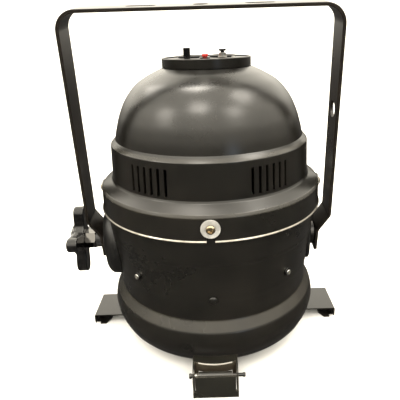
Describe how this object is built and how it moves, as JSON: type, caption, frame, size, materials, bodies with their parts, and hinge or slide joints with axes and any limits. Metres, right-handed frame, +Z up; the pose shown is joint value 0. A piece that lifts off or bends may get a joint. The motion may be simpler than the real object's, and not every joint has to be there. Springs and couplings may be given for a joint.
{
  "type": "par can stage light",
  "caption": "Black stage par can light: round metal can with vented rear housing, tilt yoke with lock knob, colour-frame clips, hinged latch and rear control panel.",
  "frame": {"origin": "where the beam axis meets the surface that the lamp stands on, lens down on its clips and latch", "axes": "+Z up along the beam axis, away from the lens; -Y towards the colour-frame latch; +X towards the plain pivot, with the tilt knob on -X"},
  "size_m": [0.2791, 0.2565, 0.3175],
  "materials": {
    "black_paint": "satin black enamel, worn at edges",
    "zinc": "bright zinc plate",
    "brassy_zinc": "yellow passivated zinc plate",
    "chrome": "bright nickel plate",
    "dark_steel": "blackened steel",
    "black_plastic": "moulded nylon, fine grain",
    "knob_plastic": "polished moulding",
    "black_rubber": "matt rubber",
    "panel": "matt black powder coat",
    "red_plastic": "moulded key",
    "aluminium": "extruded and folded",
    "clear_lens": "clear",
    "led_board_white": "white solder mask",
    "circuit_board": "green solder mask"
  },
  "bodies": {
    "lamp_body": {"front_can": "black_paint", "rear_housing": "black_paint", "panel_collar": "black_paint", "rivet_front": "black_paint", "rivet_rear": "black_paint", "clip_right": "black_paint", "clip_rear": "black_paint", "clip_left": "black_paint", "latch_bracket": "black_paint", "housing_washer_1": "zinc", "housing_washer_2": "zinc", "housing_washer_3": "zinc", "housing_washer_4": "zinc", "can_screw_1": "zinc", "can_screw_2": "zinc", "can_screw_3": "zinc", "can_screw_4": "zinc", "select_bushing": "zinc", "latch_pin": "zinc", "latch_spring": "zinc", "lamp_carrier": "zinc", "board_bracket": "zinc", "insert_left": "zinc", "insert_right": "zinc", "housing_screw_1": "brassy_zinc", "housing_screw_2": "brassy_zinc", "housing_screw_3": "brassy_zinc", "housing_screw_4": "brassy_zinc", "can_washer_1": "dark_steel", "can_washer_2": "dark_steel", "can_washer_3": "dark_steel", "can_washer_4": "dark_steel", "lens_retainer": "dark_steel", "pivot_bolt": "dark_steel", "spacer_disc": "dark_steel", "data_out_socket": "black_plastic", "data_in_socket": "black_plastic", "mains_inlet": "black_plastic", "friction_disc": "black_plastic", "mode_frame": "knob_plastic", "lens_seal": "black_rubber", "friction_pad": "black_rubber", "pivot_spacer": "black_rubber", "rear_panel": "panel", "heat_sink": "aluminium", "power_supply": "aluminium", "front_lens": "clear_lens", "optic_array": "clear_lens", "led_board": "led_board_white", "control_board": "circuit_board"},
    "yoke_body": {"yoke": "black_paint"},
    "clamp_body": {"clamp_washer": "black_plastic"},
    "knob_body": {"tilt_knob": "knob_plastic", "hex_collar": "chrome", "tilt_stud": "zinc"},
    "latch_body": {"latch_flap": "black_paint"},
    "dial_body": {"dial_knob": "knob_plastic"},
    "select_body": {"select_button": "knob_plastic"},
    "mode_body": {"mode_button": "red_plastic"}
  },
  "joints": [
    {"name": "yoke_tilt", "type": "hinge", "parent": "lamp_body", "child": "yoke_body", "pos_m": [0, 0, 0.0947], "axis": [1, 0, 0], "range_deg": [-155, 140]},
    {"name": "clamp_slide", "type": "slide", "parent": "lamp_body", "child": "clamp_body", "axis": [-1, 0, 0], "range_m": [0, 0.00125]},
    {"name": "knob_turn", "type": "hinge", "parent": "clamp_body", "child": "knob_body", "pos_m": [-0.13, 0, 0.0947], "axis": [-1, 0, 0], "range_deg": [0, 360]},
    {"name": "latch_open", "type": "hinge", "parent": "lamp_body", "child": "latch_body", "pos_m": [0, -0.1208, 0.0207], "axis": [-1, 0, 0], "range_deg": [0, 90], "stiffness_Nm_per_rad": 0.02, "springref_deg": -34.38},
    {"name": "dial_turn", "type": "hinge", "parent": "lamp_body", "child": "dial_body", "pos_m": [-0.017, -0.009, 0.276], "axis": [0, 0, 1], "range_deg": [-150, 150]},
    {"name": "select_press", "type": "slide", "parent": "lamp_body", "child": "select_body", "axis": [0, 0, -1], "range_m": [0, 0.0012], "stiffness_N_per_m": 300, "springref_m": -0.001},
    {"name": "mode_press", "type": "slide", "parent": "lamp_body", "child": "mode_body", "axis": [0, 0, -1], "range_m": [0, 0.001], "stiffness_N_per_m": 300, "springref_m": -0.001}
  ],
  "couplings": [
    {"joint": "clamp_slide", "follows": "knob_turn", "m_per_rad": 0.00019894}
  ]
}
